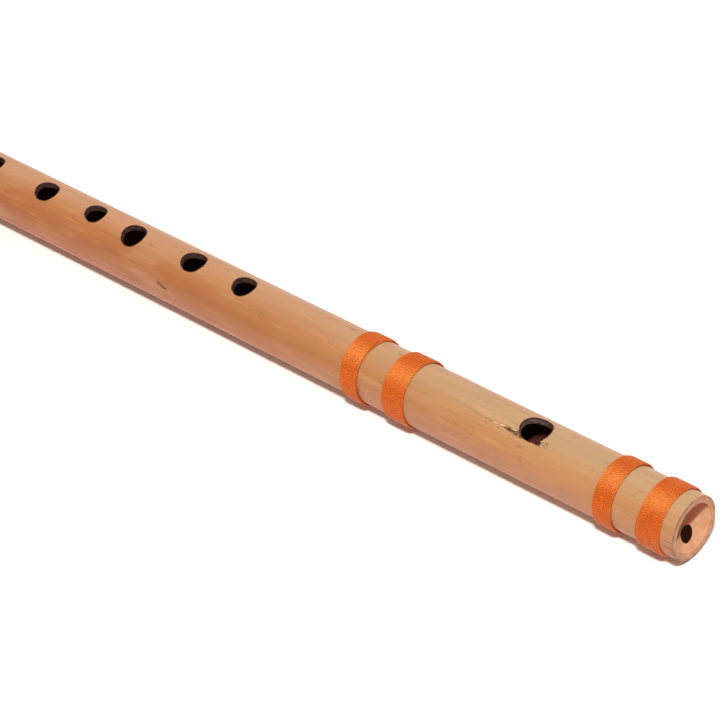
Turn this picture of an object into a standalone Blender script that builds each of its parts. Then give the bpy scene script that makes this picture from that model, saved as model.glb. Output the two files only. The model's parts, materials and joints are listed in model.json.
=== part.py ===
"""A six-hole bamboo transverse flute (bansuri) of the E medium size, lying on a table with its holes up.

Metres, +Z up. +X runs along the bore, from the open foot to the closed blowing end. The origin is on the
table, under the middle of the tube. Every size along the tube is measured back from the blowing end.
"""

import math

import bmesh
import bpy

# Driving dimensions
TUBE_RADIUS = 0.0105
WALL = 0.0024
LENGTH = 0.368
BINDING_THICKNESS = 0.0009
SEGMENTS = 48

# Clearance that the separate solids keep from each other
GAP = 0.0003

# Worked out from the driving dimensions
BORE_RADIUS = TUBE_RADIUS - WALL
BINDING_RADIUS = TUBE_RADIUS + GAP + BINDING_THICKNESS
AXIS_HEIGHT = BINDING_RADIUS * math.cos(math.pi / SEGMENTS)  # the bindings rest on a facet
RIM_CHAMFER = 0.15 * WALL

# The bamboo's own node, left as the closed end: a wall hollowed into a bowl just inside the rim
NODE_RECESS = 0.0007
NODE_DISH = 0.0027
NODE_THICKNESS = 0.0024
NODE_FILLET = 0.0004
NODE_BACK_BULGE = 0.0006
NODE_BACK_EDGE = 0.0012
DISH_STEPS = 8

# Holes: distance of the centre from the blowing end, half length along the tube, half width, and how far
# the hand-burnt hole is turned off the top, in degrees
BLOW_HOLE = (0.0585, 0.0053, 0.0051, -1.5)
FINGER_HOLES = (
    (0.1823, 0.0043, 0.0043, -0.5),
    (0.2056, 0.0047, 0.0044, 0.0),
    (0.2334, 0.0047, 0.0046, 5.5),
    (0.2531, 0.0042, 0.0040, -0.5),
    (0.2771, 0.0046, 0.0043, 2.5),
    (0.3056, 0.0046, 0.0043, 1.5),
)
CUTTER_SEGMENTS = 32

# Thread bindings: distance of the near edge from the blowing end, and width
BINDINGS = {
    "binding_head_outer": (0.0044, 0.0092),
    "binding_head_inner": (0.0221, 0.0078),
    "binding_middle_head_side": (0.1050, 0.0095),
    "binding_middle_foot_side": (0.1243, 0.0081),
    "binding_foot_inner": (0.3370, 0.0082),
    "binding_foot_outer": (0.3550, 0.0086),
}
BINDING_SHOULDER = 0.5 * BINDING_THICKNESS

# The cork that ends the air column, one bore away from the blow hole's centre
CORK_LENGTH = 0.0140
CORK_TO_BLOW_HOLE = 0.0145
CORK_CHAMFER = 0.0008

MERGE_DISTANCE = 0.00001
SHARP_ANGLE = math.radians(30)


def clear_scene():
    for old in list(bpy.data.objects):
        bpy.data.objects.remove(old, do_unlink=True)


def new_collection(name):
    collection = bpy.data.collections.new(name)
    bpy.context.scene.collection.children.link(collection)
    return collection


def material(name, colour, roughness):
    made = bpy.data.materials.new(name)
    made.use_nodes = True
    shader = made.node_tree.nodes["Principled BSDF"]
    shader.inputs["Base Color"].default_value = (*colour, 1.0)
    shader.inputs["Roughness"].default_value = roughness
    shader.inputs["Metallic"].default_value = 0.0
    return made


def from_blowing_end(distance):
    """The X of a point that far along the tube from the blowing end."""
    return LENGTH / 2 - distance


def bore_axis(collection):
    """An empty on the bore's centre line. Its local Z is the world's X."""
    axis = bpy.data.objects.new("bore_axis", None)
    collection.objects.link(axis)
    axis.location = (0.0, 0.0, AXIS_HEIGHT)
    axis.rotation_euler = (0.0, math.pi / 2, 0.0)
    return axis


def turned(name, profile, closed, centre, axis, look):
    """A solid turned round the bore. The profile's points are (radius, offset from X = centre)."""
    mesh = bpy.data.meshes.new(name)
    points = [(radius, 0.0, offset) for radius, offset in profile]
    edges = [(i, i + 1) for i in range(len(points) - 1)]
    if closed:
        edges.append((len(points) - 1, 0))
    mesh.from_pydata(points, edges, [])
    mesh.materials.append(look)
    piece = bpy.data.objects.new(name, mesh)
    axis.users_collection[0].objects.link(piece)
    piece.parent = axis
    piece.location = (0.0, 0.0, centre)
    # Half a step of turn puts a flat facet at the bottom, where the flute rests.
    piece.rotation_euler = (0.0, 0.0, math.pi / SEGMENTS)
    screw = piece.modifiers.new("turn", "SCREW")
    screw.axis = "Z"
    screw.angle = 2 * math.pi
    screw.steps = SEGMENTS
    screw.render_steps = SEGMENTS
    screw.use_merge_vertices = True
    screw.merge_threshold = MERGE_DISTANCE
    return piece


def hole_cutter(name, distance, half_length, half_width, turn_degrees, collection):
    """An oval rod through the tube's upper wall, turned off the top by some degrees."""
    rod = bmesh.new()
    bmesh.ops.create_cone(
        rod,
        cap_ends=True,
        segments=CUTTER_SEGMENTS,
        radius1=1.0,
        radius2=1.0,
        depth=TUBE_RADIUS,
    )
    bmesh.ops.scale(rod, vec=(half_length, half_width, 1.0), verts=rod.verts)
    bmesh.ops.translate(rod, vec=(0.0, 0.0, TUBE_RADIUS), verts=rod.verts)
    mesh = bpy.data.meshes.new(name)
    rod.to_mesh(mesh)
    rod.free()
    cutter = bpy.data.objects.new(name, mesh)
    collection.objects.link(cutter)
    cutter.location = (from_blowing_end(distance), 0.0, AXIS_HEIGHT)
    cutter.rotation_euler = (math.radians(turn_degrees), 0.0, 0.0)
    cutter.hide_render = True
    cutter.display_type = "WIRE"
    return cutter


def node_face(depth, dish, fillet):
    """The node's outer face from the axis to the wall, with its edge rounded up into the recess."""
    flat_radius = BORE_RADIUS - fillet
    face = []
    for step in range(DISH_STEPS):
        share = step / DISH_STEPS
        face.append((flat_radius * share, -depth - dish * (1 - share**2)))
    for angle in (0, 30, 60, 90):
        turn = math.radians(angle)
        radius = flat_radius + fillet * math.sin(turn)
        face.append((radius, -depth + fillet * (1 - math.cos(turn))))
    return face


def bamboo_tube(axis, cutters, look):
    """One length of bamboo, closed by its node at the blowing end, with its holes burnt through."""
    half = LENGTH / 2
    back = -NODE_RECESS - NODE_DISH - NODE_THICKNESS
    face = [(radius, half + offset) for radius, offset in node_face(NODE_RECESS, NODE_DISH, NODE_FILLET)]
    profile = [
        *face,
        (BORE_RADIUS, half - RIM_CHAMFER),
        (BORE_RADIUS + RIM_CHAMFER, half),
        (TUBE_RADIUS - RIM_CHAMFER, half),
        (TUBE_RADIUS, half - RIM_CHAMFER),
        (TUBE_RADIUS, -half + RIM_CHAMFER),
        (TUBE_RADIUS - RIM_CHAMFER, -half),
        (BORE_RADIUS + RIM_CHAMFER, -half),
        (BORE_RADIUS, -half + RIM_CHAMFER),
        (BORE_RADIUS, half + back - NODE_BACK_EDGE),
        (BORE_RADIUS - NODE_BACK_EDGE, half + back),
        (0.0, half + back - NODE_BACK_BULGE),
    ]
    tube = turned("bamboo_tube", profile, False, 0.0, axis, look)
    holes = [("blow_hole_cutter", *BLOW_HOLE)]
    holes += [(f"finger_hole_{number}_cutter", *hole) for number, hole in enumerate(FINGER_HOLES, 1)]
    for name, *sizes in holes:
        cut = tube.modifiers.new(name, "BOOLEAN")
        cut.operation = "DIFFERENCE"
        cut.solver = "EXACT"
        cut.object = hole_cutter(name, *sizes, cutters)
    return tube


def binding(name, near_edge, width, axis, look):
    """A band of tightly wound thread: the outer shape of its turns, with rounded shoulders."""
    inner = TUBE_RADIUS + GAP
    half = width / 2
    slope = BINDING_SHOULDER * (1 - math.cos(math.pi / 4))
    profile = [
        (BINDING_RADIUS, half - BINDING_SHOULDER),
        (BINDING_RADIUS, -half + BINDING_SHOULDER),
        (BINDING_RADIUS - slope, -half + slope),
        (BINDING_RADIUS - BINDING_SHOULDER, -half),
        (inner, -half),
        (inner, half),
        (BINDING_RADIUS - BINDING_SHOULDER, half),
        (BINDING_RADIUS - slope, half - slope),
    ]
    return turned(name, profile, True, from_blowing_end(near_edge + half), axis, look)


def cork_stopper(axis, look):
    """The cork that a rod pushes along the bore to tune the flute. Its origin is on its slide axis."""
    radius = BORE_RADIUS - GAP
    half = CORK_LENGTH / 2
    profile = [
        (0.0, half),
        (radius - CORK_CHAMFER, half),
        (radius, half - CORK_CHAMFER),
        (radius, -half + CORK_CHAMFER),
        (radius - CORK_CHAMFER, -half),
        (0.0, -half),
    ]
    centre = from_blowing_end(BLOW_HOLE[0] - CORK_TO_BLOW_HOLE - half)
    return turned("cork_stopper", profile, False, centre, axis, look)


def shade(piece):
    """Make the piece a plain mesh, smooth round its curves and sharp at its edges."""
    evaluated = piece.evaluated_get(bpy.context.evaluated_depsgraph_get())
    mesh = bpy.data.meshes.new_from_object(evaluated)
    piece.modifiers.clear()
    piece.data = mesh
    mesh.shade_smooth()
    mesh.set_sharp_from_angle(angle=SHARP_ANGLE)


def main():
    clear_scene()
    parts = new_collection("bamboo_flute")
    cutters = new_collection("bamboo_flute_cutters")

    bamboo = material("bamboo", (0.62, 0.32, 0.13), 0.42)
    thread = material("orange_thread", (0.72, 0.11, 0.015), 0.55)
    cork = material("cork", (0.43, 0.24, 0.11), 0.85)

    axis = bore_axis(parts)
    pieces = [bamboo_tube(axis, cutters, bamboo), cork_stopper(axis, cork)]
    for name, (near_edge, width) in BINDINGS.items():
        pieces.append(binding(name, near_edge, width, axis, thread))
    for piece in pieces:
        shade(piece)


main()
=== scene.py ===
"""The looks of the bamboo flute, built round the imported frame.

Metres, in the frame's own axes: +X along the bore to the closed blowing end, holes up. A turn is an angle
round the bore, from 0 at the top, positive towards -Y. Places come from the frame's boxes; the named values
below are the sizes of details that the frame leaves plain.
"""
import json
import math

import bmesh
import bpy
from mathutils import Euler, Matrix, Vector, noise


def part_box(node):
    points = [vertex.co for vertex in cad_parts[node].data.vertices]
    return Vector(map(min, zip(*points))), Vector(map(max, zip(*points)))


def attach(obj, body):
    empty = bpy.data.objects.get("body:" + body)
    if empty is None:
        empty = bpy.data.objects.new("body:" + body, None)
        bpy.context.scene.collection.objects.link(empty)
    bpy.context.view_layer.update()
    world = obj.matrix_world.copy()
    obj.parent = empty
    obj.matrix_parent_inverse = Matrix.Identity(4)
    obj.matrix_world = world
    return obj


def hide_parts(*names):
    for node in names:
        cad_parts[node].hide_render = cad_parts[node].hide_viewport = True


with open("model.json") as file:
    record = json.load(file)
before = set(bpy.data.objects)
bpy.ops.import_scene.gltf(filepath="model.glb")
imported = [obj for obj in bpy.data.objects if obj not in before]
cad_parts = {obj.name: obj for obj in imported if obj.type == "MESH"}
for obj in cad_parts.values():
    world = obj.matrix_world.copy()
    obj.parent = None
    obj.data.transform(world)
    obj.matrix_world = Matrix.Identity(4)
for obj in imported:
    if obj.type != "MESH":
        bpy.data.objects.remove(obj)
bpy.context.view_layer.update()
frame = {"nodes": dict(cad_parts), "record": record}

# ---------------------------------------------------------------- places read from the frame
TUBE_LOW, TUBE_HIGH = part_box("bamboo_tube")
FOOT = TUBE_LOW.x
HEAD = TUBE_HIGH.x
TUBE_RADIUS = (TUBE_HIGH.y - TUBE_LOW.y) / 2
AXIS_HEIGHT = (TUBE_HIGH.z + TUBE_LOW.z) / 2
BINDING_NAMES = sorted(name for name in frame["nodes"] if name.startswith("binding"))
OPENINGS = {opening["name"]: opening["box_m"] for opening in frame["record"]["physics"]["openings"]}

# ---------------------------------------------------------------- sizes of the bamboo's details
WALL = 0.0024
BORE_RADIUS = TUBE_RADIUS - WALL
RIM_ROUND = 0.00030
FOOT_RIM_ROUND = 0.00035
NODE_RECESS = 0.0007
NODE_DISH = 0.0027
NODE_THICKNESS = 0.0024
NODE_FILLET = 0.0004
NODE_BACK_EDGE = 0.0012  # the node's back is flat here, as far in as its sloped edge goes in the CAD
NODE_BACK = HEAD - NODE_RECESS - NODE_DISH - NODE_THICKNESS - NODE_BACK_EDGE
DISH_RINGS = 16
LIP_ROUND = 0.00022
INNER_LIP_ROUND = 0.00030
OPENING_SHARE = 0.70  # an opening's box is this share of its oval hole
RELIEF = 0.00006  # how uneven the rind is
NODE_RELIEF = 0.00014
SAW_MARKS = 0.00008
# How far the blow hole's broken corner reaches along the flute and round it, as shares of its half sizes
CHIP_REACH = 0.89
CHIP_WIDTH = 0.965
HOLE_LEAN = math.radians(4)  # how far the finger holes' ovals lean off the flute's own direction

# The places of the rind's marks along the flute, from the blowing end
GRAIN_STRIP = 0.0830
NICK = 0.2132
SMUDGE = 0.1706

# How finely the tube is meshed
COLUMNS = 150
COLUMN_TURN = 2 * math.pi / COLUMNS
COLUMN_TURNS = [column * COLUMN_TURN for column in range(COLUMNS)]
LONG_STEP = 0.0024
SHORT_STEP = 0.0006
BLOCK_MARGIN = 0.0026  # from a hole's edge to the coarser mesh

# ---------------------------------------------------------------- sizes of the thread and the cork
THREAD_RADIUS = 0.00038
THREAD_PITCH = 0.000635
THREAD_HEIGHT = 0.00051  # from the bamboo's skin to the middle of the thread
EDGE_HEIGHT = 0.00030  # the same at a binding's first and last turn, which lie on the skin
PLIES = 2
PLY_POINTS = 4
PLY_DEPTH = 0.16  # the groove between the plies, as a share of the thread's radius
TWIST_LENGTH = 0.0015
TWIST_UNEVEN = 2.2  # how far the twist runs ahead or behind, in radians
TURN_STEPS = 330
SIDE_WAVER = 0.000022
HEIGHT_WAVER = 0.000014
CORK_EDGE = 0.0009
CORK_COLUMNS = 96
CORK_SQUEEZE = 0.00012
CORK_PIT = 0.00012

# How far each winding runs askew, towards the blowing end on the top and towards the foot below
SKEW_TURN = math.radians(-25)
WINDING_SKEW = {
    "binding_head_outer": 0.00022,
    "binding_head_inner": 0.00012,
    "binding_middle_head_side": -0.00040,
    "binding_middle_foot_side": -0.00050,
    "binding_foot_inner": 0.00020,
    "binding_foot_outer": -0.00020,
}

# ---------------------------------------------------------------- the camera
CAMERA_PLACE = (0.6011, -0.4414, 0.6507)
CAMERA_AZIMUTH = math.radians(51.25)
CAMERA_ELEVATION = math.radians(42.11)
CAMERA_ROLL = math.radians(-13.57)
CAMERA_LENS = 150.0


# ---------------------------------------------------------------- colours
# The rind's colour by the turn round it, in degrees, near the blowing end and near the foot: partly the
# rind's own tones with its browner band, and partly painted light and shade, set turn by turn to how the
# light falls round it.
HEAD_COLOURS = (
    (-180, (183, 130, 96)),
    (-70, (186, 145, 111)),
    (-10, (182, 146, 109)),
    (13, (173, 140, 103)),
    (22, (177, 135, 95)),
    (44, (175, 125, 80)),
    (64, (170, 118, 77)),
    (88, (168, 118, 84)),
    (108, (178, 114, 74)),
    (130, (178, 117, 78)),
    (180, (183, 130, 96)),
)
FOOT_COLOURS = (
    (-180, (173, 115, 81)),
    (-70, (190, 143, 108)),
    (-10, (183, 136, 101)),
    (13, (172, 120, 81)),
    (30, (163, 105, 64)),
    (46, (160, 100, 59)),
    (60, (152, 93, 55)),
    (88, (160, 103, 68)),
    (108, (173, 100, 62)),
    (130, (171, 102, 67)),
    (180, (173, 115, 81)),
)

SOOT = (54, 24, 20)
CHAR = (52, 22, 20)
INK = (36, 18, 12)
# The dark red-brown of the rim's painted shadow in the node's bowl.
PAINTED_SHADOW = (134, 50, 22)

INK_DOT = (-0.0008, -0.0030)  # the ink dot's middle on the node, across and up from the bore's centre line
INK_DOT_RADIUS = 0.0027
# The rim's painted shadow lies further from the bore's centre line than the bore's radius. Each point of the
# bowl counts as so far across and up, for each metre that it is below the rim.
# So the upper part of the bowl is painted dark.
SHADOW_SLANT = (-0.3, 3.2)


def srgb(red, green, blue):
    """A colour given in screen values from 0 to 255, as the linear colour that shaders take."""
    channels = []
    for value in (red, green, blue):
        share = value / 255
        channels.append(share / 12.92 if share <= 0.04045 else ((share + 0.055) / 1.055) ** 2.4)
    return (*channels, 1.0)


def on_tube(x, turn, radius):
    """The point at a place along the tube, a turn round it and a distance from its centre line."""
    return Vector((x, -radius * math.sin(turn), AXIS_HEIGHT + radius * math.cos(turn)))


# ---------------------------------------------------------------- meshes
class Shape:
    """Points and faces gathered ring by ring.

    Each face has a zone, which picks its material. Each point has a shade from 0 to 1, for the material.
    """

    def __init__(self):
        self.points = []
        self.shades = []
        self.faces = []
        self.zones = []

    def point(self, place, shade=0.0):
        self.points.append(place)
        self.shades.append(shade)
        return len(self.points) - 1

    def ring(self, places, shade=0.0):
        return [self.point(place, shade) for place in places]

    def face(self, corners, zone):
        self.faces.append(corners)
        self.zones.append(zone)

    def band(self, ring, next_ring, zone):
        """Faces between two closed rings that have the same number of points."""
        for i in range(len(ring)):
            j = (i + 1) % len(ring)
            self.face((ring[i], ring[j], next_ring[j], next_ring[i]), zone)

    def bands(self, rings, zone):
        for ring, next_ring in zip(rings, rings[1:]):
            self.band(ring, next_ring, zone)

    def cap(self, ring, middle, zone):
        """Closes a ring with triangles to a point in its middle."""
        centre = self.point(middle)
        for i in range(len(ring)):
            self.face((ring[i], ring[(i + 1) % len(ring)], centre), zone)

    def build(self, name, materials, shade_name):
        """The finished object. Materials are in a dictionary from zone to material."""
        mesh = bpy.data.meshes.new(name)
        mesh.from_pydata(self.points, [], self.faces)
        slots = {}
        for zone, look in materials.items():
            slots[zone] = len(mesh.materials)
            mesh.materials.append(look)
        mesh.polygons.foreach_set("material_index", [slots[zone] for zone in self.zones])
        attribute = mesh.attributes.new(shade_name, "FLOAT", "POINT")
        attribute.data.foreach_set("value", self.shades)
        tidy = bmesh.new()
        tidy.from_mesh(mesh)
        bmesh.ops.recalc_face_normals(tidy, faces=tidy.faces)
        tidy.to_mesh(mesh)
        tidy.free()
        mesh.shade_smooth()
        mesh.set_sharp_from_angle(angle=math.radians(50))
        piece = bpy.data.objects.new(name, mesh)
        bpy.context.scene.collection.objects.link(piece)
        return piece


def even_steps(start, end, step):
    """Places from start up to, and without, end, evenly spaced and no further apart than step."""
    count = max(1, math.ceil((end - start) / step - 0.001))
    return [start + (end - start) * i / count for i in range(count)]


def mix(a, b, share):
    return a + (b - a) * share


# ---------------------------------------------------------------- materials
class Nodes:
    """A material's shader nodes, with short ways to add and link them."""

    def __init__(self, name, roughness, specular=0.4):
        self.material = bpy.data.materials.new(name)
        self.material.use_nodes = True
        self.tree = self.material.node_tree
        self.shader = self.tree.nodes["Principled BSDF"]
        self.shader.inputs["Roughness"].default_value = roughness
        self.shader.inputs["Specular IOR Level"].default_value = specular
        self.object_place = self.add("ShaderNodeTexCoord").outputs["Object"]

    def add(self, kind, **settings):
        node = self.tree.nodes.new(kind)
        for key, value in settings.items():
            setattr(node, key, value)
        return node

    def put(self, socket, value):
        """Links a socket to another node's output, or sets it to a plain value."""
        if isinstance(value, bpy.types.NodeSocket):
            self.tree.links.new(value, socket)
        else:
            socket.default_value = value

    def maths(self, operation, a, b=0.0):
        node = self.add("ShaderNodeMath", operation=operation)
        self.put(node.inputs[0], a)
        self.put(node.inputs[1], b)
        return node.outputs[0]

    def ramp(self, value, low, high, to_low=0.0, to_high=1.0):
        """Turns a value between low and high smoothly into one between to_low and to_high."""
        node = self.add("ShaderNodeMapRange", interpolation_type="SMOOTHSTEP")
        for socket, given in zip(node.inputs, (value, low, high, to_low, to_high)):
            self.put(socket, given)
        return node.outputs[0]

    def blend(self, share, first, second, how="MIX"):
        node = self.add("ShaderNodeMix", data_type="RGBA", blend_type=how)
        self.put(node.inputs["Factor"], share)
        self.put(node.inputs[6], first)
        self.put(node.inputs[7], second)
        return node.outputs[2]

    def shade(self, colour, factor):
        """The colour made lighter or darker by a factor."""
        grey = self.add("ShaderNodeCombineColor")
        for channel in grey.inputs[:3]:
            self.put(channel, factor)
        return self.blend(1.0, colour, grey.outputs[0], "MULTIPLY")

    def round_the_tube(self, turn, colours):
        """A colour that changes with the turn round the bore, from (degrees, (red, green, blue)) pairs."""
        node = self.add("ShaderNodeValToRGB")
        share = self.maths("ADD", self.maths("MULTIPLY", turn, 0.5 / math.pi), 0.5)
        self.put(node.inputs["Fac"], share)
        stops = node.color_ramp.elements
        for degrees, screen_colour in colours[1:-1]:
            stops.new(degrees / 360 + 0.5).color = srgb(*screen_colour)
        stops[0].color = srgb(*colours[0][1])
        stops[len(stops) - 1].color = srgb(*colours[-1][1])
        return node.outputs["Color"]

    def stretched(self, along, across):
        """The place, scaled along the bore and across it, so that a pattern follows the fibres."""
        node = self.add("ShaderNodeMapping")
        self.put(node.inputs["Vector"], self.object_place)
        node.inputs["Scale"].default_value = (along, across, across)
        return node.outputs["Vector"]

    def noise(self, place, scale=1.0, detail=3.0, rough=0.55):
        node = self.add("ShaderNodeTexNoise")
        self.put(node.inputs["Vector"], place)
        node.inputs["Scale"].default_value = scale
        node.inputs["Detail"].default_value = detail
        node.inputs["Roughness"].default_value = rough
        return node.outputs["Fac"]

    def spots(self, place, scale):
        node = self.add("ShaderNodeTexVoronoi")
        self.put(node.inputs["Vector"], place)
        node.inputs["Scale"].default_value = scale
        return node.outputs["Distance"]

    def attribute(self, name):
        return self.add("ShaderNodeAttribute", attribute_name=name).outputs["Fac"]

    def along_and_turn(self):
        """The place along the bore, and the turn round it."""
        parts = self.add("ShaderNodeSeparateXYZ")
        self.put(parts.inputs[0], self.object_place)
        sideways = self.maths("MULTIPLY", parts.outputs["Y"], -1.0)
        height = self.maths("SUBTRACT", parts.outputs["Z"], AXIS_HEIGHT)
        return parts.outputs["X"], self.maths("ARCTAN2", sideways, height)

    def close_to(self, value, middle, half, soft):
        """1 where the value is within half of the middle, falling to 0 over soft."""
        distance = self.maths("ABSOLUTE", self.maths("SUBTRACT", value, middle))
        return self.ramp(distance, half, half + soft, 1.0, 0.0)

    def bump(self, height, distance, under=None):
        node = self.add("ShaderNodeBump")
        self.put(node.inputs["Height"], height)
        node.inputs["Distance"].default_value = distance
        if under is not None:
            self.put(node.inputs["Normal"], under)
        return node.outputs["Normal"]

    def patch(self, along, turn, middle, half, soft):
        """1 in a patch of the surface, falling to 0. Each size is (metres along, degrees round the bore)."""
        lengthwise = self.close_to(along, middle[0], half[0], soft[0])
        across = self.close_to(turn, *(math.radians(size[1]) for size in (middle, half, soft)))
        return self.maths("MULTIPLY", lengthwise, across)

    def product(self, first, *others):
        for other in others:
            first = self.maths("MULTIPLY", first, other)
        return first

    def centred(self, noise_value, size):
        """A noise value from 0 to 1, as an offset to both sides of 0."""
        return self.maths("MULTIPLY", self.maths("SUBTRACT", noise_value, 0.5), size)

    def finish(self, colour, normal=None, roughness=None):
        self.put(self.shader.inputs["Base Color"], colour)
        if normal is not None:
            self.put(self.shader.inputs["Normal"], normal)
        if roughness is not None:
            self.put(self.shader.inputs["Roughness"], roughness)
        return self.material


def rind_colour(nodes, along, turn, clouds, fine):
    """The rind without its marks: its colour round the tube, browner towards the foot, and cloudy."""
    wide = nodes.noise(nodes.stretched(9, 130), detail=2.0)
    waver = nodes.maths("ADD", nodes.centred(wide, 0.55), nodes.centred(clouds, 0.16))
    shifted = nodes.maths("ADD", turn, waver)
    at_head = nodes.round_the_tube(shifted, HEAD_COLOURS)
    at_foot = nodes.round_the_tube(shifted, FOOT_COLOURS)
    towards_foot = nodes.ramp(along, mix(HEAD, FOOT, 0.12), mix(HEAD, FOOT, 0.62))
    colour = nodes.blend(towards_foot, at_head, at_foot)

    green = nodes.ramp(nodes.noise(nodes.stretched(38, 190), detail=3.0), 0.50, 0.70, 0.0, 0.30)
    colour = nodes.blend(green, colour, srgb(166, 138, 92))
    pink = nodes.ramp(nodes.noise(nodes.stretched(30, 150), 1.3, detail=3.0), 0.52, 0.70, 0.0, 0.35)
    colour = nodes.blend(pink, colour, srgb(186, 126, 96))
    cloudy = nodes.ramp(clouds, 0.30, 0.70, -0.035, 0.035)
    streaky = nodes.ramp(fine, 0.30, 0.70, -0.03, 0.03)
    return nodes.shade(colour, nodes.maths("ADD", nodes.maths("ADD", cloudy, streaky), 1.0))


def bamboo_skin():
    """Smooth straw-coloured rind: soft clouds and long fibres, a browner band, and the marks of use."""
    nodes = Nodes("bamboo_skin", 0.45, 0.25)
    along, turn = nodes.along_and_turn()
    clouds = nodes.noise(nodes.stretched(50, 210), detail=3.0)
    fine = nodes.noise(nodes.stretched(26, 1100), detail=4.0, rough=0.6)
    fibres = nodes.noise(nodes.stretched(90, 7000), detail=2.0)
    colour = rind_colour(nodes, along, turn, clouds, fine)

    grain = nodes.ramp(nodes.noise(nodes.stretched(45, 1900), detail=2.0), 0.56, 0.68)
    grain = nodes.product(grain, nodes.ramp(clouds, 0.38, 0.58, 0.2, 1.0), grain_places(nodes, along, turn))
    colour = nodes.blend(grain, colour, srgb(132, 88, 50))
    flecks = nodes.ramp(nodes.noise(nodes.stretched(520, 2300), detail=2.0), 0.60, 0.70, 0.0, 0.55)
    flecks = nodes.product(flecks, nodes.ramp(nodes.noise(nodes.stretched(45, 170), 1.2), 0.48, 0.62))
    colour = nodes.blend(flecks, colour, srgb(118, 80, 46))
    streaks = nodes.ramp(nodes.noise(nodes.stretched(60, 640), detail=3.0), 0.54, 0.72, 0.0, 0.16)
    colour = nodes.blend(streaks, colour, srgb(210, 166, 112))
    smudges = nodes.ramp(nodes.noise(nodes.stretched(140, 420), detail=3.0), 0.63, 0.76, 0.0, 0.5)
    handled = nodes.patch(along, turn, (HEAD - SMUDGE, 30), (0.0030, 2), (0.0030, 5))
    handled = nodes.product(handled, nodes.ramp(fine, 0.35, 0.60, 0.0, 0.40))
    colour = nodes.blend(nodes.maths("MAXIMUM", smudges, handled), colour, srgb(130, 90, 54))

    damage = damage_mask(nodes, along, turn)
    colour = nodes.blend(damage, colour, srgb(80, 50, 32))
    soot = nodes.ramp(nodes.attribute("soot"), 0.1, 1.0, 0.0, 0.92)
    colour = nodes.blend(soot, colour, srgb(*SOOT))

    dents = nodes.maths("SUBTRACT", nodes.product(fibres, 0.3), nodes.maths("ADD", grain, damage))
    roughness = nodes.ramp(fine, 0.3, 0.7, 0.36, 0.50)
    return nodes.finish(colour, nodes.bump(dents, 0.00006), roughness)


def grain_places(nodes, along, turn):
    """Where the thin dark grain lines show: a strip beside the blow hole, and faint patches elsewhere."""
    patches = nodes.ramp(nodes.noise(nodes.stretched(35, 130), detail=1.0), 0.50, 0.66, 0.0, 0.44)
    strip = nodes.patch(along, turn, (HEAD - GRAIN_STRIP, 27), (0.018, 9), (0.016, 14))
    return nodes.maths("MAXIMUM", patches, nodes.product(strip, 0.38))


def damage_mask(nodes, along, turn):
    """All the dark places where the rind is broken."""
    damage = crack_mask(nodes, along, turn)
    for mask in (nick_mask, end_crack_mask, fray_mask):
        damage = nodes.maths("MAXIMUM", damage, mask(nodes, along, turn))
    return damage


def crack_mask(nodes, along, turn):
    """The crack along the fibres from the blow hole towards the foot, thinner and fainter as it goes."""
    from_start = nodes.maths("SUBTRACT", BLOW_HOLE.x - 0.0018, along)
    ragged = nodes.noise(nodes.stretched(420, 900), detail=3.0)
    slow = nodes.noise(nodes.stretched(120, 10), detail=1.0)
    middle = nodes.ramp(from_start, 0.016, 0.026, math.radians(22.8), math.radians(17.0))
    bend = nodes.centred(slow, math.radians(3))
    tear = nodes.centred(ragged, math.radians(4.5))
    middle = nodes.maths("ADD", middle, nodes.maths("ADD", bend, tear))
    off = nodes.maths("ABSOLUTE", nodes.maths("SUBTRACT", turn, middle))
    width = nodes.ramp(from_start, 0.001, 0.011, math.radians(6.0), math.radians(1.1))
    line = nodes.ramp(nodes.maths("DIVIDE", off, width), 0.4, 1.3, 1.0, 0.0)
    fading = nodes.ramp(from_start, 0.006, 0.012, 0.95, 0.34)
    starting = nodes.ramp(from_start, -0.0005, 0.0005)
    ending = nodes.ramp(from_start, 0.020, 0.030, 1.0, 0.0)
    broken_up = nodes.ramp(ragged, 0.36, 0.54, 0.25, 1.0)
    return nodes.product(line, fading, starting, ending, broken_up)


def fray_mask(nodes, along, turn):
    """The dark gaps between the frayed fibres at the blow hole's broken corner."""
    gaps = nodes.ramp(nodes.noise(nodes.stretched(420, 3200), detail=2.0), 0.46, 0.58, 0.0, 0.7)
    corner = nodes.patch(along, turn, (BLOW_HOLE.x + 0.0060, 21), (0.0008, 4), (0.0012, 4))
    return nodes.product(gaps, corner)


def nick_mask(nodes, along, turn):
    """A short shallow nick low on the near side, aslant across the fibres."""
    ragged = nodes.centred(nodes.noise(nodes.stretched(500, 900), detail=2.0), 0.06)
    offset = nodes.maths("SUBTRACT", along, HEAD - NICK)
    slant = nodes.product(offset, math.radians(-1600))
    sideways = nodes.maths("ADD", nodes.maths("ADD", turn, slant), ragged)
    return nodes.product(nodes.patch(offset, sideways, (0.0, 71), (0.0014, 1.6), (0.0016, 2.8)), 0.8)


def end_crack_mask(nodes, along, turn):
    """Hairline drying cracks that run in from the sawn blowing end, in two places round it."""
    hair = nodes.ramp(nodes.noise(nodes.stretched(30, 2600), detail=2.0), 0.55, 0.63)
    near_end = nodes.ramp(along, HEAD - 0.0044, HEAD - 0.0016)
    near_side = nodes.close_to(turn, math.radians(92), math.radians(16), math.radians(12))
    far_side = nodes.close_to(turn, math.radians(-140), math.radians(10), math.radians(12))
    return nodes.product(hair, near_end, nodes.maths("MAXIMUM", near_side, far_side), 0.8)


def pale_fibre():
    """Freshly torn fibres, paler than the rind."""
    nodes = Nodes("pale_fibre", 0.6, 0.3)
    streaks = nodes.noise(nodes.stretched(300, 6000), detail=2.0)
    colour = nodes.blend(nodes.ramp(streaks, 0.3, 0.7), srgb(232, 200, 156), srgb(200, 154, 108))
    return nodes.finish(colour, nodes.bump(streaks, 0.00004))


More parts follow.
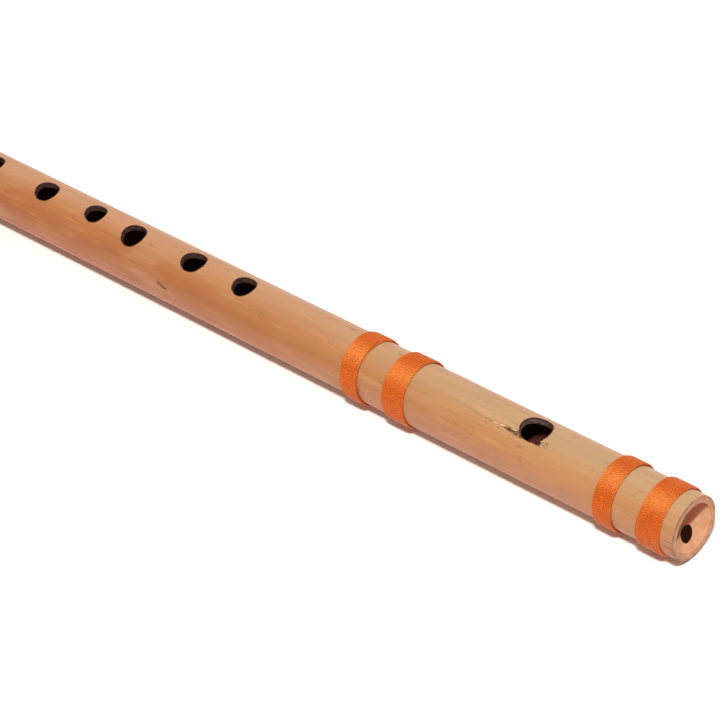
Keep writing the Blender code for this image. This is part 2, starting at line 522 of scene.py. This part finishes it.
def burnt_wall():
    """The charred wall of a hole that was burnt with a hot rod, greyer in the blow hole."""
    nodes = Nodes("burnt_wall", 0.7, 0.3)
    coarse = nodes.noise(nodes.object_place, 900, detail=4.0)
    fine = nodes.noise(nodes.object_place, 5200, detail=2.0)
    uneven = nodes.ramp(coarse, 0.35, 0.65)
    finger_holes = nodes.blend(uneven, srgb(60, 38, 31), srgb(88, 64, 55))
    blow_hole = nodes.blend(uneven, srgb(92, 68, 64), srgb(122, 98, 94))
    at_blow_hole = nodes.close_to(nodes.along_and_turn()[0], BLOW_HOLE.x, BLOW_HOLE.reach, 0.001)
    colour = nodes.blend(at_blow_hole, finger_holes, blow_hole)
    lip = nodes.ramp(nodes.attribute("soot"), 0.6, 1.0)
    colour = nodes.blend(lip, colour, srgb(*CHAR))
    return nodes.finish(colour, nodes.bump(nodes.maths("ADD", coarse, fine), 0.00008))


def bore_wall():
    """The inside of the bamboo, oiled to a dark red-brown that partly stands in for the bore's shade, with
    painted shade darker still under the blow hole.
    """
    nodes = Nodes("bore_wall", 0.5, 0.4)
    wide = nodes.noise(nodes.stretched(20, 260), detail=3.0)
    fibres = nodes.noise(nodes.stretched(60, 2600), detail=3.0)
    patchy = nodes.ramp(wide, 0.3, 0.7)
    elsewhere = nodes.blend(patchy, srgb(100, 44, 36), srgb(130, 62, 48))
    # Painted shade: the bore is darker under the blow hole, where it is seen through it.
    shaded_under_blow_hole = nodes.blend(patchy, srgb(80, 35, 30), srgb(104, 50, 39))
    at_blow_hole = nodes.close_to(nodes.along_and_turn()[0], BLOW_HOLE.x, BLOW_HOLE.reach, 0.010)
    colour = nodes.blend(at_blow_hole, elsewhere, shaded_under_blow_hole)
    return nodes.finish(colour, nodes.bump(fibres, 0.00010))


def cut_rim():
    """Sawn end grain: pale wood with the faint dots of the fibre bundles, and a darker outer edge, most on
    the near side.
    """
    nodes = Nodes("cut_rim", 0.65, 0.15)
    turn = nodes.along_and_turn()[1]
    bundles = nodes.spots(nodes.stretched(60, 1000), 2.6)
    worn = nodes.noise(nodes.object_place, 380, detail=3.0)
    colour = nodes.blend(nodes.ramp(worn, 0.3, 0.7), srgb(188, 142, 109), srgb(170, 121, 90))
    colour = nodes.blend(nodes.ramp(bundles, 0.12, 0.32, 0.22, 0.0), colour, srgb(112, 72, 48))
    # The outer edge is darker, most on the near side.
    near_side = nodes.close_to(turn, math.radians(60), math.radians(50), math.radians(40))
    patchy = nodes.ramp(worn, 0.35, 0.55, 0.55, 1.0)
    darker_edge = nodes.product(nodes.ramp(near_side, 0.0, 1.0, 0.25, 0.60), nodes.attribute("soot"), patchy)
    colour = nodes.blend(darker_edge, colour, srgb(96, 68, 50))
    return nodes.finish(colour, nodes.bump(nodes.maths("ADD", worn, bundles), 0.00008))


def node_face():
    """The node hollowed into a bowl: pale wood, a painted shadow of the rim over the bowl's upper part, and a
    round ink dot drawn on it.
    """
    nodes = Nodes("node_face", 0.6, 0.15)
    clouds = nodes.noise(nodes.object_place, 320, detail=3.0)
    fine = nodes.noise(nodes.object_place, 2600, detail=3.0)
    colour = nodes.blend(nodes.ramp(clouds, 0.35, 0.68), srgb(202, 152, 116), srgb(188, 132, 96))
    colour = nodes.blend(nodes.ramp(fine, 0.60, 0.74, 0.0, 0.35), colour, srgb(146, 92, 62))
    parts = nodes.add("ShaderNodeSeparateXYZ")
    nodes.put(parts.inputs[0], nodes.object_place)
    depth = nodes.maths("SUBTRACT", HEAD, parts.outputs["X"])
    uneven = nodes.centred(clouds, 0.0012)

    def distance_from(spot, slant):
        """From a spot on the node, with each point shifted by a slant times its depth below the rim."""
        across = nodes.maths("SUBTRACT", parts.outputs["Y"], spot[0])
        across = nodes.maths("ADD", across, nodes.product(depth, slant[0]))
        height = nodes.maths("SUBTRACT", parts.outputs["Z"], AXIS_HEIGHT + spot[1])
        height = nodes.maths("ADD", height, nodes.product(depth, slant[1]))
        squares = nodes.maths("ADD", nodes.product(across, across), nodes.product(height, height))
        return nodes.maths("ADD", nodes.maths("SQRT", squares), uneven)

    # Painted shadow: the rim's shadow over the bowl's upper part, in dark red-brown.
    from_middle = distance_from((0.0, 0.0), SHADOW_SLANT)
    painted_shadow = nodes.ramp(from_middle, BORE_RADIUS - 0.0002, BORE_RADIUS + 0.0008, 0.0, 0.85)
    colour = nodes.blend(painted_shadow, colour, srgb(*PAINTED_SHADOW))
    from_dot = distance_from(INK_DOT, (0.0, 0.0))
    no_ink = nodes.ramp(from_dot, INK_DOT_RADIUS - 0.00015, INK_DOT_RADIUS + 0.00015)
    colour = nodes.blend(no_ink, srgb(*INK), colour)
    nodes.put(nodes.shader.inputs["Specular IOR Level"], nodes.product(no_ink, 0.15))
    return nodes.finish(colour, nodes.bump(nodes.maths("ADD", clouds, fine), 0.00008))


def orange_thread():
    """Twisted orange thread with a silky sheen, painted shade in the grooves between the plies, and a painted
    highlight along the top.
    """
    nodes = Nodes("orange_thread", 0.40, 0.35)
    nodes.shader.inputs["Specular Tint"].default_value = srgb(255, 200, 140)
    turn = nodes.along_and_turn()[1]
    wear = nodes.noise(nodes.object_place, 160, detail=2.0)
    strands = nodes.noise(nodes.object_place, 1300, detail=2.0)
    fuzz = nodes.noise(nodes.object_place, 9000, detail=2.0)
    crest = nodes.ramp(nodes.attribute("crest"), 0.1, 0.9)
    # Painted shade: the grooves between the plies are darker and redder than the crests.
    colour = nodes.blend(crest, srgb(152, 55, 12), srgb(206, 102, 34))
    colour = nodes.blend(nodes.ramp(wear, 0.35, 0.7, 0.0, 0.35), colour, srgb(194, 84, 18))
    # Painted highlight: the crests are paler along the top of the tube, where the light's sheen falls.
    painted_highlight = nodes.close_to(turn, math.radians(20), math.radians(2), math.radians(27))
    painted_highlight = nodes.product(painted_highlight, nodes.ramp(crest, 0.0, 1.0, 0.30, 0.85))
    colour = nodes.blend(painted_highlight, colour, srgb(218, 130, 62))
    colour = nodes.shade(colour, nodes.ramp(strands, 0.32, 0.66, 0.86, 1.10))
    return nodes.finish(colour, nodes.bump(fuzz, 0.00004))


def cork():
    """Pressed cork: brown grains with dark pores."""
    nodes = Nodes("cork", 0.85, 0.2)
    grains = nodes.spots(nodes.object_place, 900)
    pores = nodes.noise(nodes.object_place, 1400, detail=3.0)
    colour = nodes.blend(nodes.ramp(grains, 0.35, 0.8), srgb(192, 146, 100), srgb(150, 102, 64))
    colour = nodes.blend(nodes.ramp(pores, 0.62, 0.70, 0.0, 0.9), colour, srgb(74, 44, 26))
    return nodes.finish(colour, nodes.bump(nodes.maths("SUBTRACT", grains, pores), 0.00015))


def floor_paint():
    """White studio board with the faintest mottling."""
    nodes = Nodes("studio_white", 0.9, 0.1)
    mottle = nodes.noise(nodes.object_place, 9.0, detail=2.0)
    colour = nodes.blend(mottle, srgb(245, 242, 240), srgb(247, 244, 242))
    return nodes.finish(colour)


# ---------------------------------------------------------------- the bamboo tube
def rounding(degrees, radius):
    """At an angle along a rounded edge: how far it still has to go inwards, and how far it has come down."""
    quarter = math.radians(degrees)
    return radius * (1 - math.sin(quarter)), radius * (1 - math.cos(quarter))


class Hole:
    """One burnt hole, read from its opening's box: its centre, its half sizes and its own uneven outline.

    The frame's oval is the outer edge of the hole's rounded lip.
    """

    def __init__(self, name, number):
        low, high = OPENINGS[name]
        middle_y = (low[1] + high[1]) / 2
        self.x = (low[0] + high[0]) / 2
        self.half_length = (high[0] - low[0]) / 2 / OPENING_SHARE - LIP_ROUND
        self.turn = math.asin(-middle_y / (TUBE_RADIUS - WALL / 2))
        slant = abs(math.sin(self.turn)) * WALL
        self.half_width = (high[1] - low[1] + slant) / 2 / OPENING_SHARE - LIP_ROUND
        self.number = number
        self.reach = self.half_length + BLOCK_MARGIN
        self.chipped = name == "blow_hole"
        self.lean = 0.0 if self.chipped else HOLE_LEAN

    def outline(self, angle):
        """How far the uneven outline is from the true oval, as a factor."""
        wave = 0.016 * math.sin(2 * angle + 1.7 * self.number)
        wave += 0.010 * math.sin(3 * angle + 2.9 * self.number)
        wave += 0.006 * math.sin(7 * angle + 4.1 * self.number)
        return 1 + wave

    def chip(self, angle):
        """The blow hole's broken corner: a sliver has split off, back to two straight lines."""
        if not self.chipped or not 0.0 < angle < math.radians(96):
            return 1.0
        square = min(CHIP_REACH / max(0.1, math.cos(angle)), CHIP_WIDTH / math.sin(angle))
        return max(1.0, square - 0.03 * (1 + noise.noise(Vector((9 * angle, 0.0, 0.0)))))

    def edge(self, angle, outwards, depth_share):
        """(x, sideways) of the outline at an angle. The depth share is 0 at the skin and 1 at the bore."""
        chip = mix(self.chip(angle), 1.0, min(1.0, 1.7 * depth_share))
        wobble = self.outline(angle) * chip
        spot = Vector((4 * math.cos(angle), 4 * math.sin(angle), 3 * depth_share + self.number))
        burn = 0.00006 * noise.noise(spot)
        along = (self.half_length * wobble + outwards + burn) * math.cos(angle)
        across = (self.half_width * wobble + outwards + burn) * math.sin(angle)
        return self.x + along, across + self.lean * along


BLOW_HOLE = Hole("blow_hole", 0)
HOLES = [BLOW_HOLE] + [Hole(f"finger_hole_{number}", number) for number in range(1, len(OPENINGS) - 1)]


def skin_radius(x, turn):
    """The rind's distance from the centre line: bamboo is never perfectly round."""
    place = Vector((x * 14, 1.5 * math.sin(turn), 1.5 * math.cos(turn)))
    return TUBE_RADIUS - RELIEF + RELIEF * noise.noise(place)


def tube_stations():
    """Where the rings of points stand along the tube, and the rows that each hole's block takes up."""
    places = []
    blocks = {}
    x = FOOT + FOOT_RIM_ROUND
    for hole in sorted(HOLES, key=lambda each: each.x):
        places += even_steps(x, hole.x - hole.reach, LONG_STEP)
        first = len(places)
        places += even_steps(hole.x - hole.reach, hole.x + hole.reach, SHORT_STEP)
        blocks[hole] = (first, len(places))
        x = hole.x + hole.reach
    places += even_steps(x, NODE_BACK, LONG_STEP)
    last_bore_row = len(places)
    places += even_steps(NODE_BACK, HEAD - RIM_ROUND, LONG_STEP / 2)
    places.append(HEAD - RIM_ROUND)
    return places, blocks, last_bore_row


def block_columns(hole):
    """The first and last column of points round a hole, wide enough for its inner edge."""
    reach = math.asin((hole.half_width + 3 * INNER_LIP_ROUND) / BORE_RADIUS) + math.radians(6)
    middle = round(hole.turn / COLUMN_TURN)
    half = math.ceil(reach / COLUMN_TURN)
    return middle - half, middle + half


def block_outline(rows, columns):
    """The (row, column) pairs round a block, in order."""
    first, last = rows
    low, high = columns
    pairs = [(row, low) for row in range(first, last)]
    pairs += [(last, column) for column in range(low, high)]
    pairs += [(row, high) for row in range(last, first, -1)]
    pairs += [(first, column) for column in range(high, low, -1)]
    return pairs


def surface_grid(shape, stations, radius_at, blocks, zone):
    """A round surface along the stations, open at the holes' blocks. Returns its point numbers by row."""
    rows = []
    for x in stations:
        rows.append(shape.ring([on_tube(x, turn, radius_at(x, turn)) for turn in COLUMN_TURNS]))
    open_cells = set()
    for hole, (first, last) in blocks.items():
        low, high = block_columns(hole)
        for row in range(first, last):
            open_cells.update((row, column % COLUMNS) for column in range(low, high))
    for row in range(len(rows) - 1):
        for column in range(COLUMNS):
            if (row, column) not in open_cells:
                after = (column + 1) % COLUMNS
                corners = (rows[row][column], rows[row][after], rows[row + 1][after], rows[row + 1][column])
                shape.face(corners, zone)
    return rows


def hole_rings(shape, hole, stations, rows, outer, inner):
    """Rings from the block's edge on the skin, over the lip, down the wall, and out over the bore."""
    pairs = block_outline(rows, block_columns(hole))
    corners = [(stations[row], column * COLUMN_TURN) for row, column in pairs]
    angles = [
        math.atan2((turn - hole.turn) * TUBE_RADIUS / hole.half_width, (x - hole.x) / hole.half_length)
        for x, turn in corners
    ]

    def surface_ring(share, outwards, depth_share, radius, is_skin, soot):
        """A ring on the skin or the bore, between the block's edge (share 0) and the hole's lip (share 1)."""
        ring = []
        for (x, turn), angle in zip(corners, angles):
            lip_x, sideways = hole.edge(angle, outwards, depth_share)
            lip_turn = hole.turn + math.asin(sideways / radius)
            place_x = mix(x, lip_x, share)
            place_turn = mix(turn, lip_turn, share)
            height = skin_radius(place_x, place_turn) if is_skin else radius
            ring.append(shape.point(on_tube(place_x, place_turn, height), soot))
        return ring

    def wall_ring(outwards, depth_share, below_skin, above_bore):
        """A ring in the wall, from a depth below the skin to a height above the bore. The lip is blackest."""
        ring = []
        for angle in angles:
            x, sideways = hole.edge(angle, outwards, depth_share)
            top = math.sqrt((TUBE_RADIUS - RELIEF) ** 2 - sideways**2) - below_skin
            bottom = math.sqrt(BORE_RADIUS**2 - sideways**2) + above_bore
            height = mix(top, bottom, depth_share)
            turn = hole.turn + math.atan2(sideways, height)
            soot = 1.0 if depth_share == 0.0 else 0.5
            ring.append(shape.point(on_tube(x, turn, math.hypot(sideways, height)), soot))
        return ring

    skin = [[outer[row][column % COLUMNS] for row, column in pairs]]
    for share, soot in ((0.35, 0.0), (0.62, 0.0), (0.84, 0.0), (0.93, 0.25), (1.0, 1.0)):
        skin.append(surface_ring(share, LIP_ROUND, 0.0, TUBE_RADIUS, True, soot))
    lip = [skin[-1]]
    for degrees in (30, 60, 90):
        out, down = rounding(degrees, LIP_ROUND)
        lip.append(wall_ring(out, 0.0, down, 0.0))
    wall = [lip[-1]]
    for depth in (0.2, 0.4, 0.6, 0.8, 1.0):
        wall.append(wall_ring(0.0, depth, LIP_ROUND, INNER_LIP_ROUND))
    inner_lip = [wall[-1]]
    for degrees in (60, 30):
        out, up = rounding(degrees, INNER_LIP_ROUND)
        inner_lip.append(wall_ring(out, 1.0, 0.0, up))
    bore = []
    for share in (1.0, 0.8, 0.55, 0.3):
        bore.append(surface_ring(share, INNER_LIP_ROUND, 1.0, BORE_RADIUS, False, 0.0))
    bore.append([inner[row][column % COLUMNS] for row, column in pairs])
    inner_lip.append(bore[0])
    shape.bands(skin, "skin")
    shape.bands(lip + wall[1:] + inner_lip[1:], "burnt")
    shape.bands(bore, "bore")


def rim_rings(shape, end, inwards, outer_ring, edge_radius, soot):
    """Rings over a sawn rim, from the skin's last ring to just inside the bore. inwards is +1 or -1 in X."""
    profile = []
    for degrees in (30, 60, 90):
        depth, drop = rounding(degrees, edge_radius)
        profile.append((TUBE_RADIUS - RELIEF - drop, depth, soot))
    profile.append((TUBE_RADIUS - 0.35 * WALL, 0.0, 0.25 * soot))
    profile.append((TUBE_RADIUS - 0.65 * WALL, 0.0, 0.0))
    for degrees in (90, 45, 0):
        depth, drop = rounding(degrees, edge_radius)
        profile.append((BORE_RADIUS + drop, depth, 0.0))
    rings = [outer_ring]
    for radius, depth, shade in profile:
        places = []
        for turn in COLUMN_TURNS:
            spot = Vector((3 * math.cos(turn), 3 * math.sin(turn), 400 * radius))
            sawn = SAW_MARKS * abs(noise.noise(spot))
            places.append(on_tube(end + inwards * (depth + sawn), turn, radius))
        rings.append(shape.ring(places, shade))
    return rings


def node_rings(shape, rim_ring):
    """Rings from the rim's inner edge, over the fillet and down the bowl towards the middle of the node."""
    profile = []
    for degrees in (60, 30, 0):
        out, rise = rounding(degrees, NODE_FILLET)
        profile.append((BORE_RADIUS - out, NODE_RECESS - rise))
    for step in range(DISH_RINGS, 0, -1):
        share = step / (DISH_RINGS + 1)
        profile.append(((BORE_RADIUS - NODE_FILLET) * share, NODE_RECESS + NODE_DISH * (1 - share**2)))
    rings = [rim_ring]
    for radius, depth in profile:
        places = []
        for turn in COLUMN_TURNS:
            spot = Vector((0.0, radius * 260 * math.sin(turn), radius * 260 * math.cos(turn)))
            places.append(on_tube(HEAD - depth - NODE_RELIEF * noise.noise(spot), turn, radius))
        rings.append(shape.ring(places))
    return rings


def bamboo_tube(materials):
    """The tube in one closed skin: rind, holes, bore, both rims and the node."""
    shape = Shape()
    stations, blocks, last_bore_row = tube_stations()
    outer = surface_grid(shape, stations, skin_radius, blocks, "skin")
    inner = surface_grid(shape, stations[: last_bore_row + 1], lambda x, turn: BORE_RADIUS, blocks, "bore")
    for hole, rows in blocks.items():
        hole_rings(shape, hole, stations, rows, outer, inner)

    foot_rim = rim_rings(shape, FOOT, 1, outer[0], FOOT_RIM_ROUND, 0.5)
    shape.bands(foot_rim, "rim")
    shape.band(foot_rim[-1], inner[0], "bore")
    head_rim = rim_rings(shape, HEAD, -1, outer[-1], RIM_ROUND, 1.0)
    shape.bands(head_rim, "rim")
    node = node_rings(shape, head_rim[-1])
    shape.bands(node, "node")
    shape.cap(node[-1], on_tube(HEAD - NODE_RECESS - NODE_DISH, 0.0, 0.0), "node")
    shape.cap(inner[-1], on_tube(NODE_BACK, 0.0, 0.0), "bore")

    looks = {zone: materials[zone] for zone in ("skin", "burnt", "bore", "rim", "node")}
    tube = shape.build("bamboo_tube_surface", looks, "soot")
    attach(tube, "flute")
    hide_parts("bamboo_tube")
    return tube


# ---------------------------------------------------------------- the thread
def twisted_thread(shape, spine):
    """A thread of twisted plies along a spine of (centre, outwards, forwards, thickness, length so far)."""
    count = PLIES * PLY_POINTS
    rings = []
    for centre, outward, forward, thickness, length in spine:
        side = forward.cross(outward)
        twist = 2 * math.pi * length / TWIST_LENGTH
        ring = []
        for i in range(count):
            angle = 2 * math.pi * i / count
            crest = abs(math.cos(PLIES * angle / 2))
            radius = THREAD_RADIUS * thickness * (1 - PLY_DEPTH * (1 - crest))
            place = centre + radius * (math.cos(angle + twist) * outward + math.sin(angle + twist) * side)
            ring.append(shape.point(place, crest))
        rings.append(ring)
    shape.bands(rings, "thread")
    shape.cap(rings[0], spine[0][0], "thread")
    shape.cap(rings[-1], spine[-1][0], "thread")


def winding_spine(low_x, high_x, seed, skew):
    """The thread's path round the tube, turn beside turn, lower at the edges and tucked in at both ends."""
    first = low_x + THREAD_RADIUS
    width = high_x - low_x - 2 * THREAD_RADIUS
    turns = width / THREAD_PITCH
    steps = round(turns * TURN_STEPS)
    start_turn = 2.4 * seed
    spine = []
    for i in range(steps + 1):
        share = i / steps
        wound = 2 * math.pi * turns * share
        place = Vector((3.0 * math.cos(wound), 3.0 * math.sin(wound), 0.9 * wound + 17 * seed))
        waver = noise.noise(place)
        from_end = min(share, 1 - share) * turns
        rise = min(1.0, from_end / 1.1)
        rise = rise * rise * (3 - 2 * rise)
        tucked = max(0.0, 1 - from_end / 0.12)
        height = mix(EDGE_HEIGHT, THREAD_HEIGHT, rise) - 0.6 * THREAD_RADIUS * tucked + HEIGHT_WAVER * waver
        turn = start_turn + wound
        x = first + width * share + SIDE_WAVER * waver + skew * math.cos(turn - SKEW_TURN)
        centre = on_tube(x, turn, TUBE_RADIUS + height)
        outward = Vector((0.0, -math.sin(turn), math.cos(turn)))
        forward = Vector((0.0, -math.cos(turn), -math.sin(turn)))
        length = wound * TUBE_RADIUS
        uneven = TWIST_UNEVEN * noise.noise(Vector((length * 120, 5.0 * seed, 0.0)))
        twisted_length = length + uneven * TWIST_LENGTH / (2 * math.pi)
        spine.append((centre, outward, forward, 1 - 0.6 * tucked, twisted_length))
    return spine


def thread_binding(name, number, materials):
    """One binding: a single thread wound turn beside turn over the width of its ring in the frame."""
    low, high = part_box(name)
    shape = Shape()
    twisted_thread(shape, winding_spine(low.x, high.x, number, WINDING_SKEW[name]))
    winding = shape.build(f"{name}_winding", {"thread": materials["thread"]}, "crest")
    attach(winding, "flute")
    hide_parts(name)
    return winding


def loose_tail(materials):
    """The cut end of a winding's thread, which shows as a short stub beside the binding."""
    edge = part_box("binding_middle_foot_side")[1].x
    steps = 10
    points = []
    for i in range(steps + 1):
        share = i / steps
        turn = math.radians(mix(82, 88, share))
        x = edge + mix(-0.3, 0.9, share) * THREAD_RADIUS
        points.append(on_tube(x, turn, TUBE_RADIUS + 0.8 * THREAD_RADIUS))
    spine = []
    for i, centre in enumerate(points):
        forward = (points[min(i + 1, steps)] - points[max(i - 1, 0)]).normalized()
        outward = Vector((0.0, centre.y, centre.z - AXIS_HEIGHT)).normalized()
        outward = (outward - forward * outward.dot(forward)).normalized()
        spine.append((centre, outward, forward, 0.8 - 0.4 * i / steps, 0.00015 * i))
    shape = Shape()
    twisted_thread(shape, spine)
    tail = shape.build("binding_middle_loose_tail", {"thread": materials["thread"]}, "crest")
    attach(tail, "flute")
    return tail


# ---------------------------------------------------------------- splinters and cork
def splinter(shape, x, turn, length, width, lift, skew):
    """One sliver of bamboo along the fibres, lifted at one end. A negative length runs towards the foot."""
    rings = []
    for share in (0.0, 0.15, 0.4, 0.7, 0.9, 1.0):
        girth = width * math.sqrt(max(0.02, 1 - (2 * share - 1) ** 2))
        ring = []
        for corner in range(6):
            angle = math.pi * corner / 3
            height = TUBE_RADIUS - RELIEF + 0.00008 + lift * share**2 + 0.4 * girth * math.sin(angle)
            sideways = turn + skew * share + girth * math.cos(angle) / TUBE_RADIUS
            ring.append(shape.point(on_tube(x + length * share, sideways, height)))
        rings.append(ring)
    shape.bands(rings, "fibre")
    shape.cap(rings[0], shape.points[rings[0][0]], "fibre")
    shape.cap(rings[-1], shape.points[rings[-1][0]], "fibre")


def blow_hole_splinters(materials):
    """The pale frayed fibres at the blow hole's broken corner, and the slivers lifted along the crack."""
    corner = BLOW_HOLE.x + BLOW_HOLE.half_length
    middle = BLOW_HOLE.x
    # Each one's place along the flute, turn in degrees, length, width, lift, and skew in degrees
    slivers = (
        (corner - 0.0007, 18.0, 0.0016, 0.00016, 0.00030, -2),
        (corner + 0.0001, 15.5, 0.0014, 0.00011, 0.00030, 3),
        (corner, 22.0, 0.0013, 0.00014, 0.00022, -3),
        (corner + 0.0010, 19.5, 0.0012, 0.00012, 0.00016, 3),
        (corner + 0.0002, 24.5, 0.0008, 0.00010, 0.00014, -1),
        (middle - 0.0044, 19.5, -0.0023, 0.00017, 0.00018, 1),
        (middle - 0.0086, 20.5, -0.0024, 0.00015, 0.00020, 2),
        (middle - 0.0116, 22.5, -0.0018, 0.00013, 0.00014, 1),
    )
    shape = Shape()
    for x, turn, length, width, lift, skew in slivers:
        splinter(shape, x, math.radians(turn), length, width, lift, math.radians(skew))
    piece = shape.build("blow_hole_splinters", {"fibre": materials["fibre"]}, "soot")
    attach(piece, "flute")
    return piece


def cork_stopper(materials):
    """The cork, a little squeezed by the bore in its middle, with crumbled edges."""
    low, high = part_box("cork_stopper")
    radius = (high.y - low.y) / 2
    length = high.x - low.x
    turns = [2 * math.pi * i / CORK_COLUMNS for i in range(CORK_COLUMNS)]
    face_shares = (0.3, 0.6, 0.9, 1.0)
    profile = [(radius * share * 0.88, 0.0) for share in face_shares]
    profile += [(radius - 0.3 * CORK_EDGE, 0.3 * CORK_EDGE), (radius, CORK_EDGE)]
    for step in range(1, 12):
        share = step / 12
        squeeze = CORK_SQUEEZE * math.sin(math.pi * share)
        profile.append((radius - squeeze, mix(CORK_EDGE, length - CORK_EDGE, share)))
    profile += [(radius, length - CORK_EDGE), (radius - 0.3 * CORK_EDGE, length - 0.3 * CORK_EDGE)]
    profile += [(radius * share * 0.88, length) for share in reversed(face_shares)]
    shape = Shape()
    rings = []
    for ring_radius, offset in profile:
        places = []
        for turn in turns:
            across = ring_radius * 900
            spot = Vector((offset * 900, across * math.sin(turn), across * math.cos(turn)))
            pit = CORK_PIT * max(0.0, noise.noise(spot) - 0.15)
            inset = pit if offset < length / 2 else -pit
            places.append(on_tube(low.x + offset + inset, turn, ring_radius - pit))
        rings.append(shape.ring(places))
    shape.bands(rings, "cork")
    shape.cap(rings[0], on_tube(low.x, 0.0, 0.0), "cork")
    shape.cap(rings[-1], on_tube(high.x, 0.0, 0.0), "cork")
    piece = shape.build("cork_stopper_surface", {"cork": materials["cork"]}, "crumb")
    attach(piece, "cork")
    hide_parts("cork_stopper")
    return piece


# ---------------------------------------------------------------- the studio
def place_camera():
    """The camera at the place and the angles named above, with a long lens."""
    camera = bpy.data.objects.new("camera", bpy.data.cameras.new("camera"))
    bpy.context.scene.collection.objects.link(camera)
    camera.location = CAMERA_PLACE
    turned = Euler((0.0, 0.0, CAMERA_AZIMUTH)).to_matrix()
    tilted = Euler((math.pi / 2 - CAMERA_ELEVATION, 0.0, 0.0)).to_matrix()
    rolled = Euler((0.0, 0.0, CAMERA_ROLL)).to_matrix()
    camera.rotation_euler = (turned @ tilted @ rolled).to_euler()
    camera.data.lens = CAMERA_LENS
    camera.data.sensor_width = 36.0
    camera.data.clip_start = 0.05
    bpy.context.scene.camera = camera


def lay_floor():
    """A wide pale sheet just under the bindings."""
    mesh = bpy.data.meshes.new("floor")
    sheet = bmesh.new()
    bmesh.ops.create_grid(sheet, x_segments=4, y_segments=4, size=4.0)
    sheet.to_mesh(mesh)
    sheet.free()
    mesh.materials.append(floor_paint())
    floor = bpy.data.objects.new("floor", mesh)
    bpy.context.scene.collection.objects.link(floor)
    floor.location.z = AXIS_HEIGHT - TUBE_RADIUS - THREAD_HEIGHT - THREAD_RADIUS


def soft_light(name, direction, distance, size, level, colour):
    """A square soft box that looks at the blowing end. A level of 1 lights a white card to full white."""
    target = Vector((HEAD, 0.0, 0.0))
    direction = Vector(direction).normalized()
    light = bpy.data.lights.new(name, "AREA")
    light.size = size
    light.energy = level * (math.pi * distance) ** 2
    light.color = colour
    lamp = bpy.data.objects.new(name, light)
    bpy.context.scene.collection.objects.link(lamp)
    lamp.location = target + distance * direction
    lamp.rotation_euler = direction.to_track_quat("Z", "Y").to_euler()


def light_studio():
    """A warm room, a key light above the near side, and weaker ones from behind and from the front."""
    world = bpy.data.worlds.new("studio")
    world.use_nodes = True
    background = world.node_tree.nodes["Background"]
    background.inputs["Color"].default_value = (1.0, 0.83, 0.74, 1.0)
    background.inputs["Strength"].default_value = 0.24
    bpy.context.scene.world = world
    soft_light("key", (0.34, -0.30, 0.89), 6.0, 0.6, 1.09, (1.0, 1.0, 1.0))
    soft_light("back", (0.10, 0.75, 0.65), 4.0, 1.6, 0.38, (1.0, 0.98, 0.96))
    soft_light("fill", (0.05, -0.95, 0.25), 4.0, 2.0, 0.22, (1.0, 0.86, 0.76))
    bpy.context.scene.view_settings.view_transform = "Standard"


def main():
    place_camera()
    materials = {
        "skin": bamboo_skin(),
        "fibre": pale_fibre(),
        "burnt": burnt_wall(),
        "bore": bore_wall(),
        "rim": cut_rim(),
        "node": node_face(),
        "thread": orange_thread(),
        "cork": cork(),
    }
    bamboo_tube(materials)
    for number, name in enumerate(BINDING_NAMES):
        thread_binding(name, number, materials)
    loose_tail(materials)
    blow_hole_splinters(materials)
    cork_stopper(materials)
    lay_floor()
    light_studio()


main()
